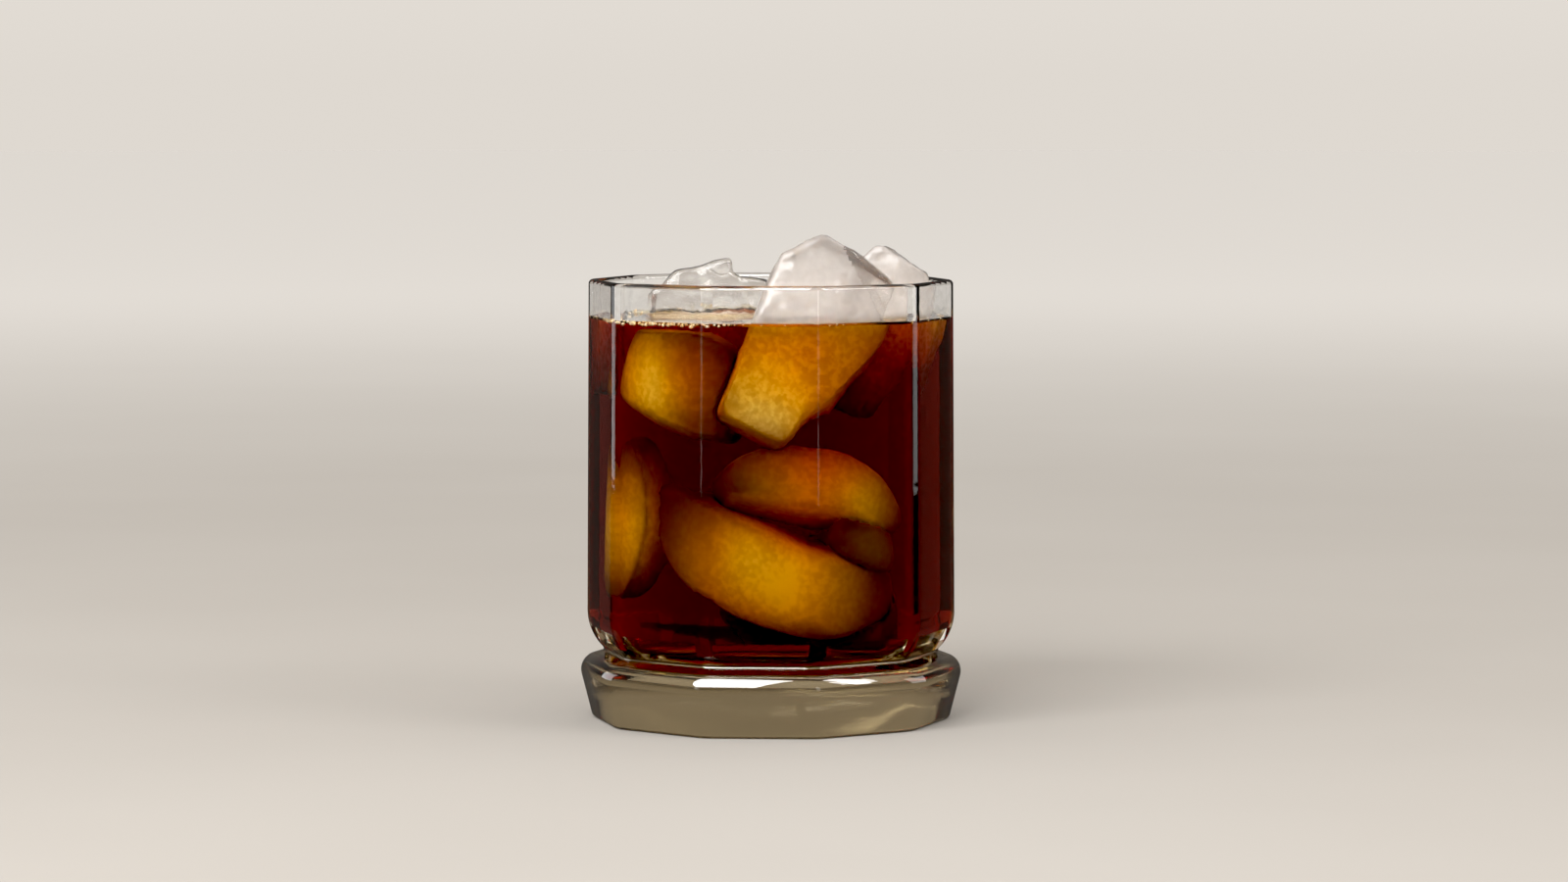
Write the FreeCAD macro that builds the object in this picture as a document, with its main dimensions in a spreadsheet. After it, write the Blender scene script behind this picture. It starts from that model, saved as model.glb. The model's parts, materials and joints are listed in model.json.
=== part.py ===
"""Cold brew coffee on ice in a ten-sided tumbler, millimetres.

Z points up, the glass stands on Z = 0 and its axis is the Z axis.  A corner of
the ten-sided glass points along +X, so a flat panel faces the front, -Y.
"""
import FreeCAD
import Part
import Sketcher
import math
import os

# name: (size, what it is)
SIZES = {
    "panels": (10, "flat panels round the glass"),
    "glass_height": (100.8, "foot to rim"),
    "rim_radius": (41.8, "axis to a corner, at the rim"),
    "belly_radius": (42.3, "axis to a corner, where the bowl is widest"),
    "belly_corner_height": (19.3, "height where bowl side and bowl bottom would meet"),
    "belly_round": (12.0, "bend from the bowl's side to its bottom"),
    "groove_radius": (38.0, "axis to a corner, in the groove between bowl and foot"),
    "groove_height": (15.6, "height of the groove"),
    "shoulder_radius": (44.6, "axis to the foot's upper corner before rounding"),
    "shoulder_height": (13.6, "height of the foot's upper corner before rounding"),
    "shoulder_round": (3.9, "rounding on the foot's upper corner"),
    "base_radius": (41.1, "axis to a corner, at the underside"),
    "base_round": (1.2, "rounding under the foot"),
    "corner_ease": (0.35, "how far the upright corners are taken back"),
    "rim_wall": (2.2, "thickness of the lip"),
    "rim_round": (1.0, "rounding of the lip, inside and outside"),
    "belly_wall": (2.7, "thickness of the wall low down"),
    "floor_height": (16.0, "height of the floor inside"),
    "floor_round": (9.5, "bend from the inside wall to the floor"),
    "liquid_level": (91.5, "height of the coffee's surface"),
    "ice_ease": (1.2, "melted rounding on the ice's long edges"),
    "ice_corner": (2.5, "melted rounding on the corners of the ice's faces"),
    "ice_bulge": (16.0, "rounding of the crescents' bulging side"),
    "front_ice_length": (47.0, "front crescent, lower corner to peak"),
    "front_ice_width": (26.5, "front crescent, back to bulge"),
    "front_ice_depth": (14.0, "front crescent, face to face"),
    "front_ice_shoulder": (7.5, "front crescent's shoulder, below its peak"),
    "front_ice_left": (9.3, "front crescent's lower corner, left of the axis"),
    "front_ice_off_wall": (0.4, "front crescent's lower corner to the glass"),
    "front_ice_sunk": (18.6, "front crescent's lower corner, below the surface"),
    "right_ice_length": (40.0, "right crescent, lower corner to peak"),
    "right_ice_width": (20.5, "right crescent, back to bulge"),
    "right_ice_depth": (13.0, "right crescent, face to face"),
    "right_ice_shoulder": (12.0, "right crescent's shoulder, below its peak"),
    "right_ice_off_wall": (33.9, "right crescent's lower corner to the glass on the right"),
    "right_ice_front": (6.0, "right crescent's front face, in front of the axis"),
    "right_ice_sunk": (16.5, "right crescent's lower corner, below the surface"),
    "left_ice_length": (28.0, "left block, end to end"),
    "left_ice_rise": (31.5, "left block, underside to tip"),
    "left_ice_depth": (13.0, "left block, face to face"),
    "left_ice_left": (28.5, "left block's outer end, left of the axis"),
    "left_ice_behind": (9.5, "left block's front face, behind the axis"),
    "left_ice_sunk": (17.5, "left block's underside, below the surface"),
}
# How each piece of ice lies, in degrees: lean to the right, tilt back, turn left.
FRONT_ICE_LIES = (21.8, 14.0, 9.0)
RIGHT_ICE_LIES = (21.8, 5.0, -6.0)
LEFT_ICE_LIES = (0.0, 4.0, 3.0)
# The panel cutter: how far it clears the glass's ends, how wide it is, and how
# far it reaches in under the base and over the rim.
AROUND = 1.0
FAR = 60.0
REACH_IN = 5.0
# Two heights closer than this are the same.
TOUCH = 0.001

doc = FreeCAD.newDocument("ColdBrewCoffee")


class Size:
    """A number together with the expression that binds it to the sheet."""

    def __init__(self, value, text):
        self.value = value
        self.text = text

    def joined(self, other, sign, value):
        return Size(value, "(%s %s %s)" % (self.text, sign, other.text))

    def __add__(self, other):
        return self.joined(other, "+", self.value + other.value)

    def __sub__(self, other):
        return self.joined(other, "-", self.value - other.value)

    def __mul__(self, other):
        return self.joined(other, "*", self.value * other.value)

    def __truediv__(self, other):
        return self.joined(other, "/", self.value / other.value)


def size(name):
    return Size(float(SIZES[name][0]), "Sizes." + name)


def plain(value):
    return Size(float(value), "%.6g" % value)


ZERO = plain(0)


def write_sheet():
    sheet = doc.addObject("Spreadsheet::Sheet", "Sizes")
    for row, (name, (value, meaning)) in enumerate(SIZES.items(), start=1):
        sheet.set("A%d" % row, name)
        sheet.set("B%d" % row, str(value))
        sheet.set("C%d" % row, meaning)
        sheet.setAlias("B%d" % row, name)
    doc.recompute()


def new_body(name):
    body = doc.addObject("PartDesign::Body", name)
    body.Label = name
    return body


def plane(body, role):
    return [f for f in body.Origin.OriginFeatures if f.Role == role][0]


def new_sketch(body, name, role):
    sketch = body.newObject("Sketcher::SketchObject", name)
    sketch.AttachmentSupport = (plane(body, role), "")
    sketch.MapMode = "FlatFace"
    return sketch


def bound(sketch, constraint, amount):
    """Add a dimension and tie it to the sheet."""
    index = sketch.addConstraint(constraint)
    sketch.setExpression("Constraints[%d]" % index, amount.text)


def place_point(sketch, geo, point, across, up):
    for kind, amount in (("X", across), ("Y", up)):
        if amount is ZERO:
            axis = -2 if kind == "X" else -1
            sketch.addConstraint(Sketcher.Constraint("PointOnObject", geo, point, axis))
        else:
            made = Sketcher.Constraint("Distance" + kind, -1, 1, geo, point, amount.value)
            bound(sketch, made, amount)


def corner_arc(before, at, after, radius):
    """The rounding of one corner: where it starts and ends, and its arc."""
    to_before = (before - at).normalize()
    to_after = (after - at).normalize()
    half = to_before.getAngle(to_after) / 2
    start = at + to_before * (radius / math.tan(half))
    end = at + to_after * (radius / math.tan(half))
    middle = (to_before + to_after).normalize()
    centre = at + middle * (radius / math.sin(half))
    top = centre - middle * radius
    return start, end, Part.Arc(start, top, end)


def draw_outline(sketch, corners):
    """A closed outline from its corners, each (across, up, rounding or None).

    A rounded corner keeps its own point, which carries the dimensions.
    """
    spots = [FreeCAD.Vector(a.value, u.value, 0) for a, u, _ in corners]
    count = len(corners)
    starts, ends, arcs = [], [], []
    for i, (_, _, rounding) in enumerate(corners):
        start, end, arc = spots[i], spots[i], None
        if rounding is not None:
            after = spots[(i + 1) % count]
            start, end, arc = corner_arc(spots[i - 1], spots[i], after, rounding.value)
        starts.append(start)
        ends.append(end)
        arcs.append(arc)
    lines = [
        sketch.addGeometry(Part.LineSegment(ends[i], starts[(i + 1) % count]))
        for i in range(count)
    ]
    for i, (across, up, rounding) in enumerate(corners):
        line_in, line_out = lines[i - 1], lines[i]
        if rounding is None:
            sketch.addConstraint(Sketcher.Constraint("Coincident", line_in, 2, line_out, 1))
            place_point(sketch, line_out, 1, across, up)
            continue
        arc = sketch.addGeometry(arcs[i])
        to_first = sketch.getPoint(arc, 1).distanceToPoint(starts[i])
        to_second = sketch.getPoint(arc, 2).distanceToPoint(starts[i])
        near, away = (1, 2) if to_first < to_second else (2, 1)
        sketch.addConstraint(Sketcher.Constraint("Tangent", line_in, 2, arc, near))
        sketch.addConstraint(Sketcher.Constraint("Tangent", arc, away, line_out, 1))
        bound(sketch, Sketcher.Constraint("Radius", arc, rounding.value), rounding)
        corner = sketch.addGeometry(Part.Point(spots[i]), True)
        sketch.addConstraint(Sketcher.Constraint("PointOnObject", corner, 1, line_in))
        sketch.addConstraint(Sketcher.Constraint("PointOnObject", corner, 1, line_out))
        place_point(sketch, corner, 1, across, up)


def flat_share():
    """A flat's distance from the axis, as a share of its sharp corners' distance."""
    return Size(math.cos(math.pi / SIZES["panels"][0]), "cos(180 / Sizes.panels)")


def panelled(name, chain, round_close, panel_close):
    """A turned body with its flat panels taken off.

    chain(reach) gives the corners of the side from the bottom up, with each
    radius passed through reach: the turned blank keeps the radius of the eased
    corners, and the panels cut at the flat's own distance from the axis.
    """
    flat = flat_share()
    ease = size("corner_ease")
    body = new_body(name)
    outline = new_sketch(body, name + "Outline", "XZ_Plane")
    draw_outline(outline, chain(lambda radius: radius) + round_close)
    blank = body.newObject("PartDesign::Revolution", name + "Blank")
    blank.Profile = outline
    blank.ReferenceAxis = (outline, ["V_Axis"])
    blank.Angle = 360
    doc.recompute()
    side = new_sketch(body, name + "PanelSide", "YZ_Plane")
    draw_outline(side, chain(lambda radius: (radius + ease) * flat) + panel_close)
    panel = body.newObject("PartDesign::Pocket", name + "Panel")
    panel.Profile = side
    panel.SideType = "Symmetric"
    panel.Length = 2 * FAR
    doc.recompute()
    ring = body.newObject("PartDesign::PolarPattern", name + "Panels")
    ring.Originals = [panel]
    ring.Axis = (outline, ["V_Axis"])
    ring.Angle = 360
    ring.setExpression("Occurrences", "Sizes.panels")
    body.Tip = ring
    doc.recompute()
    return body


def round_edges(body, name, radius, wanted):
    """Round the body's edges that wanted(edge) picks."""
    before = body.Tip
    edges = enumerate(before.Shape.Edges, start=1)
    fillet = body.newObject("PartDesign::Fillet", name)
    fillet.Base = (before, ["Edge%d" % i for i, edge in edges if wanted(edge)])
    fillet.setExpression("Radius", radius.text)
    body.Tip = fillet
    doc.recompute()


def at_height(height):
    return lambda edge: (
        abs(edge.BoundBox.ZMin - height) < TOUCH and abs(edge.BoundBox.ZMax - height) < TOUCH
    )


def across_depth(edge):
    """Whether an edge of a padded face runs round its front or its back."""
    return edge.BoundBox.YLength < TOUCH


def glass_outside():
    base = size("base_radius")
    top = size("glass_height")
    start = base - plain(REACH_IN)
    end = size("rim_radius") - plain(REACH_IN)

    def chain(reach):
        return [
            (reach(base), ZERO, size("base_round")),
            (reach(size("shoulder_radius")), size("shoulder_height"), size("shoulder_round")),
            (reach(size("groove_radius")), size("groove_height"), None),
            (reach(size("belly_radius")), size("belly_corner_height"), size("belly_round")),
            (reach(size("rim_radius")), top, None),
        ]

    above = top + plain(AROUND)
    round_close = [(ZERO, top, None), (ZERO, ZERO, None)]
    panel_close = [
        (end, top, None),
        (end, above, None),
        (plain(FAR), above, None),
        (plain(FAR), plain(-AROUND), None),
        (start, plain(-AROUND), None),
        (start, ZERO, None),
    ]
    body = panelled("GlassOutside", chain, round_close, panel_close)
    round_edges(body, "Lip", size("rim_round"), at_height(top.value))
    return body


def glass_inside():
    """The space inside the glass, which also shapes the coffee."""
    floor = size("floor_height")
    top = size("glass_height")
    start = size("belly_radius") - size("belly_wall") - size("floor_round") - plain(REACH_IN)

    def chain(reach):
        return [
            (reach(size("belly_radius") - size("belly_wall")), floor, size("floor_round")),
            (reach(size("rim_radius") - size("rim_wall")), top, size("rim_round")),
            (plain(FAR), top, None),
        ]

    above = top + plain(AROUND)
    below = floor - plain(AROUND)
    round_close = [(plain(FAR), above, None), (ZERO, above, None), (ZERO, floor, None)]
    panel_close = [(plain(FAR), below, None), (start, below, None), (start, floor, None)]
    return panelled("GlassInside", chain, round_close, panel_close)


def ice_block(name, corners, depth, cut_back):
    """A piece of ice, its front face upright on Y = 0 and its depth behind it.

    The long edge on the right is cut back where the face passes cut_back.
    """
    body = new_body(name)
    face = new_sketch(body, name + "Face", "XZ_Plane")
    draw_outline(face, corners)
    slab = body.newObject("PartDesign::Pad", name + "Slab")
    slab.Profile = face
    slab.setExpression("Length", depth.text)
    slab.Reversed = True
    doc.recompute()
    round_edges(body, name + "Ease", size("ice_ease"), across_depth)
    across, reach = cut_back
    side = new_sketch(body, name + "CutBackSide", "XY_Plane")
    draw_outline(side, [
        (across, ZERO, None),
        (across, plain(-AROUND), None),
        (across + reach, plain(-AROUND), None),
        (across + reach, depth, None),
    ])
    cut = body.newObject("PartDesign::Pocket", name + "CutBack")
    cut.Profile = side
    cut.SideType = "Symmetric"
    cut.Length = 4 * FAR
    doc.recompute()
    return body


def crescent(name, width, length, depth, shoulder):
    """Moulded crescent ice: straight back on the left, bulging side on the right,
    the upper end broken off to a peak, with a shoulder lower down on the left.

    The corners lie at shares of the piece's own width and length.
    """
    corner = size("ice_corner")
    corners = [
        (ZERO, ZERO, corner),
        (width * plain(0.60), ZERO - length * plain(0.03), corner),
        (width * plain(1.02), length * plain(0.60), size("ice_bulge")),
        (width, length * plain(0.92), corner),
        (width * plain(0.30), length, corner),
        (ZERO, length - shoulder, corner),
    ]
    return ice_block(name, corners, depth, (width * plain(0.62), width))


def block(name, width, rise, depth):
    """A clear block with a broken tip, its corners at shares of its width and rise."""
    corner = size("ice_corner")
    corners = [
        (width * plain(0.06), ZERO, corner),
        (width * plain(0.86), ZERO, corner),
        (width, rise * plain(0.45), corner),
        (width, rise * plain(0.84), corner),
        (width * plain(0.68), rise * plain(0.87), None),
        (width * plain(0.66), rise, None),
        (width * plain(0.20), rise * plain(0.90), corner),
        (ZERO, rise * plain(0.72), corner),
    ]
    return ice_block(name, corners, depth, (width * plain(0.70), width))


def lay(body, lies, x, y, z):
    """Turn the ice as it lies and put its lower left corner at x, y, z."""
    lean, tilt, turn = lies
    upright = FreeCAD.Rotation(FreeCAD.Vector(0, 1, 0), lean)
    tilted = FreeCAD.Rotation(FreeCAD.Vector(1, 0, 0), -tilt)
    turned = FreeCAD.Rotation(FreeCAD.Vector(0, 0, 1), turn)
    where = FreeCAD.Vector(x.value, y.value, z.value)
    body.Placement = FreeCAD.Placement(where, turned * tilted * upright)
    for axis, amount in (("x", x), ("y", y), ("z", z)):
        body.setExpression("Placement.Base." + axis, amount.text)
    doc.recompute()


def boolean(kind, name, parts):
    made = doc.addObject("Part::" + kind, name)
    made.Label = name
    if kind.startswith("Multi"):
        made.Shapes = parts
    else:
        made.Base, made.Tool = parts
    doc.recompute()
    return made


def wall_inside(height):
    """The axis to the inside of a panel, at a height above the bend at the floor."""
    low = size("belly_radius") - size("belly_wall")
    high = size("rim_radius") - size("rim_wall")
    floor = size("floor_height")
    share = (height - floor) / (size("glass_height") - floor)
    return (low + (high - low) * share + size("corner_ease")) * flat_share()


def all_ice():
    level = size("liquid_level")
    front_foot = level - size("front_ice_sunk")
    right_foot = level - size("right_ice_sunk")
    front = crescent("ice_front", size("front_ice_width"), size("front_ice_length"),
                     size("front_ice_depth"), size("front_ice_shoulder"))
    lay(front, FRONT_ICE_LIES, ZERO - size("front_ice_left"),
        size("front_ice_off_wall") - wall_inside(front_foot), front_foot)
    right = crescent("ice_right", size("right_ice_width"), size("right_ice_length"),
                     size("right_ice_depth"), size("right_ice_shoulder"))
    lay(right, RIGHT_ICE_LIES, wall_inside(right_foot) - size("right_ice_off_wall"),
        ZERO - size("right_ice_front"), right_foot)
    left = block("ice_left", size("left_ice_length"), size("left_ice_rise"),
                 size("left_ice_depth"))
    lay(left, LEFT_ICE_LIES, ZERO - size("left_ice_left"), size("left_ice_behind"),
        level - size("left_ice_sunk"))
    return [front, right, left]


def below_level():
    """All that lies below the coffee's surface."""
    drum = doc.addObject("Part::Cylinder", "BelowLevel")
    drum.Radius = FAR
    drum.setExpression("Height", "Sizes.liquid_level")
    return drum


def main():
    write_sheet()
    outside = glass_outside()
    inside = glass_inside()
    glass = boolean("Cut", "glass", (outside, inside))
    ice = all_ice()
    filled = boolean("MultiCommon", "Filled", [inside, below_level()])
    ice_together = boolean("MultiFuse", "IceTogether", ice)
    coffee = boolean("Cut", "coffee", (filled, ice_together))
    write_parts([glass, coffee] + ice)


def write_parts(nodes):
    for thing in doc.Objects:
        if "Invalid" in thing.State or "Error" in thing.State:
            raise RuntimeError("%s did not build: %s" % (thing.Label, thing.State))
    os.makedirs("parts", exist_ok=True)
    for node in nodes:
        shape = node.Shape
        if shape.isNull() or not shape.isValid():
            raise RuntimeError("%s has no sound shape" % node.Label)
        shape.exportStep("parts/%s.step" % node.Label)


main()
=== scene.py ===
"""Cold brew coffee on ice in a ten-sided pressed glass, metres."""
import bpy
import json
import math
import random
from mathutils import Euler, Matrix, Vector
from mathutils.bvhtree import BVHTree

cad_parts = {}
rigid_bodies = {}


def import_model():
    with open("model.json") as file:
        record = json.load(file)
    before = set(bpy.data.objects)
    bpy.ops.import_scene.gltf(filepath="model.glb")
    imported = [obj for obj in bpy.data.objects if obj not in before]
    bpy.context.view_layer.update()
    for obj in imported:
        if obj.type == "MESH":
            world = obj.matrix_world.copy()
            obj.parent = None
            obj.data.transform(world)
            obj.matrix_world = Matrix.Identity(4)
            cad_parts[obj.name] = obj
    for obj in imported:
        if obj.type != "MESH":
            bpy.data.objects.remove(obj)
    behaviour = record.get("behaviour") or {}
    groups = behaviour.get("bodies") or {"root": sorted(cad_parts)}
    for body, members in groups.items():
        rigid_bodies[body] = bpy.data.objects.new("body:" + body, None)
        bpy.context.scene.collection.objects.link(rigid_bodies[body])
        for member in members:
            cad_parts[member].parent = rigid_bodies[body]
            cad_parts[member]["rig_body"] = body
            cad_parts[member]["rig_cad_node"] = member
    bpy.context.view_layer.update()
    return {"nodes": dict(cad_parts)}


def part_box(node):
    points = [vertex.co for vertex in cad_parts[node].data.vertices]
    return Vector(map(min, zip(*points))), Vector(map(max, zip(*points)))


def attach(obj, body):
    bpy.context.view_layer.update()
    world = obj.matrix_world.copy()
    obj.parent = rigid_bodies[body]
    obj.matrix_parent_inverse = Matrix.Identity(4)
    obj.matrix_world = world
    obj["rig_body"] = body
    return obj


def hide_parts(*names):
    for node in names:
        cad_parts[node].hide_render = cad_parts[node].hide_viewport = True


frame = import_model()

MM = 0.001
# The glass: ten panels, a corner of them along +X.
PANELS = 10
HALF_PANEL = math.pi / PANELS
CORNER_EASE = 0.35 * MM
CORNER_BEVEL = 0.052
GLASS_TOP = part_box("glass")[1].z
COFFEE_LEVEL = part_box("coffee")[1].z
COFFEE_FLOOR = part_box("coffee")[0].z
BOWL_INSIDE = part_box("coffee")[1].x
FOOT_TOP = 15.6 * MM
FOOT_ROUNDING = 0.85
FOOT_REACH = 38.5 * MM
FLOOR_ROUND = 9.5 * MM
LIP_ROUND = 1.05 * MM
# How far the coffee reaches into the wall, and the ice into the coffee.
INTO_WALL = 0.12 * MM
INTO_COFFEE = 0.05 * MM
# Ice stays this far off the glass's floor and, when sunken, under the coffee's level.
ICE_OFF_FLOOR = 0.6 * MM
UNDER_LEVEL = 1.4 * MM
# How far ice may reach from the axis, how softly it is held there, and how much less
# it may reach away from its heart.
ICE_REACH = 37.5 * MM
SUNKEN_REACH = 36.6 * MM
SQUEEZE = 2.0 * MM
FALL_AWAY = 7.0 * MM
# Room between one piece of ice and the next.
SPACE_BETWEEN = 0.6 * MM
# The grain at which ice is melted, above the coffee and in it.
FINE_MELT = 0.6 * MM
SUNKEN_MELT = 0.8 * MM
# Depths of ice over which it turns from clear to cloudy, and the most that is looked
# through, in a cone this wide, to tell its depth.
THIN_RIM = 5.0 * MM
FULL_BODY = 16.0 * MM
THICK_ICE = 20.0 * MM
CONE_WIDTH = 1.9
CONE_RAYS = 8
# How far from its heart ice that stands out is cloudy, and is let out to the wall.
CLOUD_SPREAD = 33 * MM
WALL_SPREAD = 60 * MM
# The half-moon mould: half a drum, cut at a height, with its tips struck off.
MOON_RADIUS = 22 * MM
MOON_DEPTH = 11 * MM
MOON_CUT = 4 * MM
MOON_MIDDLE = 12 * MM
MOON_TIP = (18.5 * MM, 7 * MM)
MOON_DOME = ((1.9 * MM, 0.74), (0.9 * MM, 0.58))
# The chunk mould: a block, one corner struck off, rounded a little.
CHUNK_SIZE = (26 * MM, 15 * MM, 17 * MM)
CHUNK_CORNER = (9 * MM, 0, 3 * MM)
CHUNK_ROUNDNESS = 0.28
# The coffee's shining skin, and its edge where it creeps up glass and ice.
SKIN_GAP = 0.02 * MM
CREEP_RISE = 0.9 * MM
CREEP_REACH = 1.1 * MM
ON_LEVEL = 0.001 * MM
# The string of bubbles at the front left: how many, where it starts, how far it goes.
STRING_BUBBLES = 38
STRING_START = -160
STRING_LENGTH = 61
LOOSE_BUBBLES = 90
MIRROR_DIMMING = 0.94
FLOOR_RADIUS = 9.0
FLOOR_DROP = 0.05 * MM


# ---------------------------------------------------------------- tools

def put_down():
    """Leave edit mode and let go of everything."""
    if bpy.context.object is not None and bpy.context.object.mode != "OBJECT":
        bpy.ops.object.mode_set(mode="OBJECT")
    bpy.ops.object.select_all(action="DESELECT")


def take_up(piece):
    put_down()
    piece.select_set(True)
    bpy.context.view_layer.objects.active = piece


def work_on(piece, part="FACE"):
    """Open a piece in edit mode with nothing selected."""
    take_up(piece)
    bpy.ops.object.mode_set(mode="EDIT")
    bpy.ops.mesh.select_mode(type=part)
    bpy.ops.mesh.select_all(action="DESELECT")


def name_piece(name):
    piece = bpy.context.object
    piece.name = name
    piece.data.name = name
    bpy.ops.object.transform_apply(location=True, rotation=True, scale=True)
    return piece


def apply_modifier(piece, kind, **settings):
    take_up(piece)
    modifier = piece.modifiers.new(kind, kind)
    for key, value in settings.items():
        setattr(modifier, key, value)
    bpy.ops.object.modifier_apply(modifier=modifier.name)


def clean_shell(piece):
    """Join doubled points and turn the faces outwards."""
    work_on(piece)
    bpy.ops.mesh.select_all(action="SELECT")
    bpy.ops.mesh.remove_doubles(threshold=0.002 * MM)
    bpy.ops.mesh.normals_make_consistent(inside=False)
    put_down()


def copy_piece(piece, name):
    twin = piece.copy()
    twin.data = piece.data.copy()
    twin.name = name
    twin.data.name = name
    twin.parent = None
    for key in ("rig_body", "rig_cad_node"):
        if key in twin:
            del twin[key]
    twin.matrix_world = Matrix.Identity(4)
    bpy.context.scene.collection.objects.link(twin)
    return twin


def discard(piece):
    bpy.data.objects.remove(piece, do_unlink=True)


def skin_of(piece):
    """A piece's surface, ready to be measured to."""
    mesh = piece.data
    return BVHTree.FromPolygons([v.co for v in mesh.vertices],
                                [p.vertices for p in mesh.polygons])


def smooth(piece, degrees=180):
    take_up(piece)
    bpy.ops.object.shade_smooth_by_angle(angle=math.radians(degrees))
    put_down()


# ---------------------------------------------------------------- drawn shapes

def bend(before, corner, after, radius, steps):
    """Points round the bend that eases a corner between two straight runs."""
    to_before = (before - corner).normalized()
    to_after = (after - corner).normalized()
    half = to_before.angle(to_after) / 2
    centre = corner + (to_before + to_after).normalized() * (radius / math.sin(half))
    first = corner + to_before * (radius / math.tan(half)) - centre
    last = corner + to_after * (radius / math.tan(half)) - centre
    turn = first.angle(last)
    points = []
    for step in range(steps + 1):
        share = step / steps
        across = math.sin((1 - share) * turn) * first + math.sin(share * turn) * last
        points.append(centre + across / math.sin(turn))
    return points


def outline(corners):
    """Stations along a side, from corners of (radius, height, rounding, steps)."""
    spots = [Vector((radius, height)) for radius, height, _, _ in corners]
    stations = [spots[0]]
    for i in range(1, len(corners) - 1):
        _, _, rounding, steps = corners[i]
        if rounding:
            stations += bend(spots[i - 1], spots[i], spots[i + 1], rounding, steps)
        else:
            stations.append(spots[i])
    return stations + [spots[-1]]


def draw_up(name, stations):
    """A ten-sided piece drawn up from a plate: each station is a ring's radius and height."""
    radius, height = stations[0]
    put_down()
    bpy.ops.mesh.primitive_circle_add(
        vertices=PANELS, radius=radius + CORNER_EASE, fill_type="NGON",
        location=(0, 0, height), rotation=(0, 0, HALF_PANEL))
    piece = name_piece(name)
    work_on(piece, "VERT")
    bpy.ops.mesh.select_all(action="SELECT")
    bpy.ops.mesh.bevel(affect="VERTICES", offset=CORNER_BEVEL * radius, segments=6)
    bpy.ops.mesh.select_mode(type="FACE")
    bpy.ops.mesh.select_all(action="SELECT")
    for reach, level in stations[1:]:
        rise = {"value": (0, 0, level - height)}
        share = (reach + CORNER_EASE) / (radius + CORNER_EASE)
        bpy.ops.mesh.extrude_region_move(TRANSFORM_OT_translate=rise)
        bpy.ops.transform.resize(value=(share, share, 1), center_override=(0, 0, level))
        radius, height = reach, level
    put_down()
    clean_shell(piece)
    return piece


# ---------------------------------------------------------------- glass

def round_off_foot(glass):
    """Turn the foot's normals towards a round foot's, as its corners are softly pressed."""
    mesh = glass.data
    normals = [corner.vector.copy() for corner in mesh.corner_normals]
    for face in mesh.polygons:
        reach = math.hypot(face.center.x, face.center.y)
        if face.center.z > FOOT_TOP or reach < FOOT_REACH:
            continue
        for index in face.loop_indices:
            old = normals[index]
            spot = mesh.vertices[mesh.loops[index].vertex_index].co
            flat = math.hypot(old.x, old.y)
            round_way = Vector((spot.x, spot.y)).normalized() * flat
            aim = Vector((round_way.x, round_way.y, old.z))
            normals[index] = old.lerp(aim, FOOT_ROUNDING).normalized()
    mesh.normals_split_custom_set(normals)


def press_glass():
    """The tumbler: drawn up outside, over the lip, and down to the floor inside. Its
    faces are marked: dry glass, wetted wall, foot, wetted floor."""
    # Each corner's distance from the axis, height, rounding and steps.
    side = [
        (30.0 * MM, 0.45 * MM, 0, 0),
        (36.0 * MM, 0.45 * MM, 2.0 * MM, 3),
        (37.6 * MM, 0.0, 1.0 * MM, 3),
        (41.1 * MM, 0.0, 1.2 * MM, 5),
        (44.6 * MM, 13.6 * MM, 3.9 * MM, 12),
        (38.0 * MM, 15.6 * MM, 0.5 * MM, 4),
        (42.3 * MM, 19.3 * MM, 12.0 * MM, 14),
        (41.8 * MM, GLASS_TOP, LIP_ROUND, 7),
        (BOWL_INSIDE, GLASS_TOP, LIP_ROUND, 7),
        (BOWL_INSIDE, COFFEE_LEVEL + CREEP_RISE, 0, 0),
        (BOWL_INSIDE, COFFEE_FLOOR, FLOOR_ROUND, 12),
        (24.0 * MM, COFFEE_FLOOR, 0, 0),
    ]
    glass = draw_up("pressed_glass", outline(side))
    smooth(glass, 60)
    apply_modifier(glass, "WEIGHTED_NORMAL", keep_sharp=True, weight=60)
    round_off_foot(glass)
    for face in glass.data.polygons:
        middle = face.center
        reach = math.hypot(middle.x, middle.y)
        below = COFFEE_FLOOR - 0.1 * MM < middle.z < COFFEE_LEVEL + CREEP_RISE
        if below and reach < BOWL_INSIDE + 0.3 * MM:
            face.material_index = 3 if middle.z < COFFEE_FLOOR + 2.5 * MM else 1
        elif middle.z < FOOT_TOP:
            face.material_index = 2
    return glass


# ---------------------------------------------------------------- ice

def roughen(piece, amount, grain, seed):
    """Melt marks: push the surface in and out by a cloudy noise."""
    clouds = bpy.data.textures.new(piece.name, "CLOUDS")
    clouds.noise_scale = grain
    clouds.noise_depth = 2
    where = bpy.data.objects.new("clouds", None)
    bpy.context.scene.collection.objects.link(where)
    where.location = (seed * 0.137, seed * 0.071, seed * 0.053)
    apply_modifier(piece, "DISPLACE", texture=clouds, strength=amount, mid_level=0.5,
                   texture_coords="OBJECT", texture_coords_object=where)
    discard(where)


def keep_off_glass(piece, reach, heart, spread):
    """Round ice off where it comes near the bowl: it comes to reach from the axis at its
    heart, and less far away from it."""
    for vertex in piece.data.vertices:
        apart = (vertex.co - heart).length / spread
        easy = reach - FALL_AWAY * (1 - math.exp(-(0.6 * apart) ** 2)) - SQUEEZE
        away = math.hypot(vertex.co.x, vertex.co.y)
        if away > easy:
            kept = easy + SQUEEZE * (1 - math.exp((easy - away) / SQUEEZE))
            vertex.co.xy *= kept / away
        vertex.co.z = max(vertex.co.z, COFFEE_FLOOR + ICE_OFF_FLOOR)


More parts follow.
